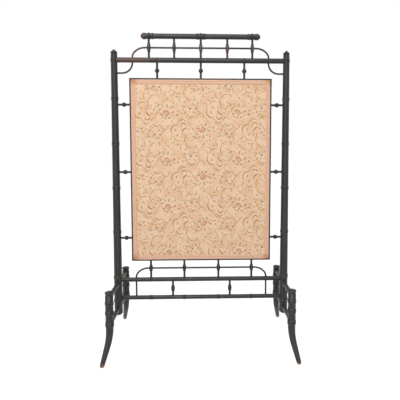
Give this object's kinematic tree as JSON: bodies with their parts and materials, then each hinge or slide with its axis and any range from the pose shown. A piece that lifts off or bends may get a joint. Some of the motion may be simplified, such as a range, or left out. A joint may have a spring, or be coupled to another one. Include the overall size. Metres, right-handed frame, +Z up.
{
  "type": "fire screen",
  "caption": "Free-standing cheval fire screen: an upholstered rectangular panel held by small turned spindles in a faux bamboo frame with a cane crest and sabre feet.",
  "frame": {"origin": "on the floor, under the middle of the screen, in the plane of the two posts", "axes": "+X to the viewer's right, +Y from the upholstered front to the back, +Z up"},
  "size_m": [0.6264, 0.3772, 1.0633],
  "materials": {
    "ebonised_wood": "black stained and polished hardwood, satin, grey-blue highlights",
    "worn_ebonised_wood": "black stained hardwood, rubbed to red-brown on its edges and beads",
    "tapestry": "woven jacquard tapestry, peach ground with olive scrolls and small flower sprays",
    "gimp_braid": "pink-peach woven gimp braid with two ridges",
    "backing_cloth": "plain unbleached linen"
  },
  "bodies": {
    "root": {"post_left": "ebonised_wood", "post_right": "ebonised_wood", "top_rail": "worn_ebonised_wood", "mid_rail": "ebonised_wood", "base_rail": "ebonised_wood", "crest_rail": "ebonised_wood", "crest_spindle_1": "worn_ebonised_wood", "crest_spindle_2": "worn_ebonised_wood", "crest_spindle_3": "worn_ebonised_wood", "crest_spindle_4": "worn_ebonised_wood", "crest_spindle_5": "worn_ebonised_wood", "crest_cane": "worn_ebonised_wood", "corner_bow_left": "ebonised_wood", "corner_bow_right": "ebonised_wood", "panel_hanger_1": "ebonised_wood", "panel_hanger_2": "ebonised_wood", "panel_hanger_3": "ebonised_wood", "side_spindle_left_1": "ebonised_wood", "side_spindle_left_2": "ebonised_wood", "side_spindle_left_3": "ebonised_wood", "side_spindle_right_1": "ebonised_wood", "side_spindle_right_2": "ebonised_wood", "side_spindle_right_3": "ebonised_wood", "gallery_spindle_1": "ebonised_wood", "gallery_spindle_2": "ebonised_wood", "gallery_spindle_3": "ebonised_wood", "gallery_spindle_4": "ebonised_wood", "gallery_cane": "ebonised_wood", "base_spindle_1": "ebonised_wood", "base_spindle_2": "ebonised_wood", "panel_stile_left": "ebonised_wood", "panel_stile_right": "ebonised_wood", "panel_rail_top": "ebonised_wood", "panel_rail_bottom": "ebonised_wood", "tapestry": "tapestry", "backing_cloth": "backing_cloth", "gimp_top": "gimp_braid", "gimp_bottom": "gimp_braid", "gimp_left": "gimp_braid", "gimp_right": "gimp_braid", "leg_front_left": "worn_ebonised_wood", "leg_front_right": "worn_ebonised_wood", "leg_rear_left": "worn_ebonised_wood", "leg_rear_right": "worn_ebonised_wood", "stretcher_front_left_upper": "ebonised_wood", "stretcher_front_left_lower": "ebonised_wood", "stretcher_front_right_upper": "ebonised_wood", "stretcher_front_right_lower": "ebonised_wood", "stretcher_rear_left_upper": "ebonised_wood", "stretcher_rear_left_lower": "ebonised_wood", "stretcher_rear_right_upper": "ebonised_wood", "stretcher_rear_right_lower": "ebonised_wood"}
  },
  "joints": []
}
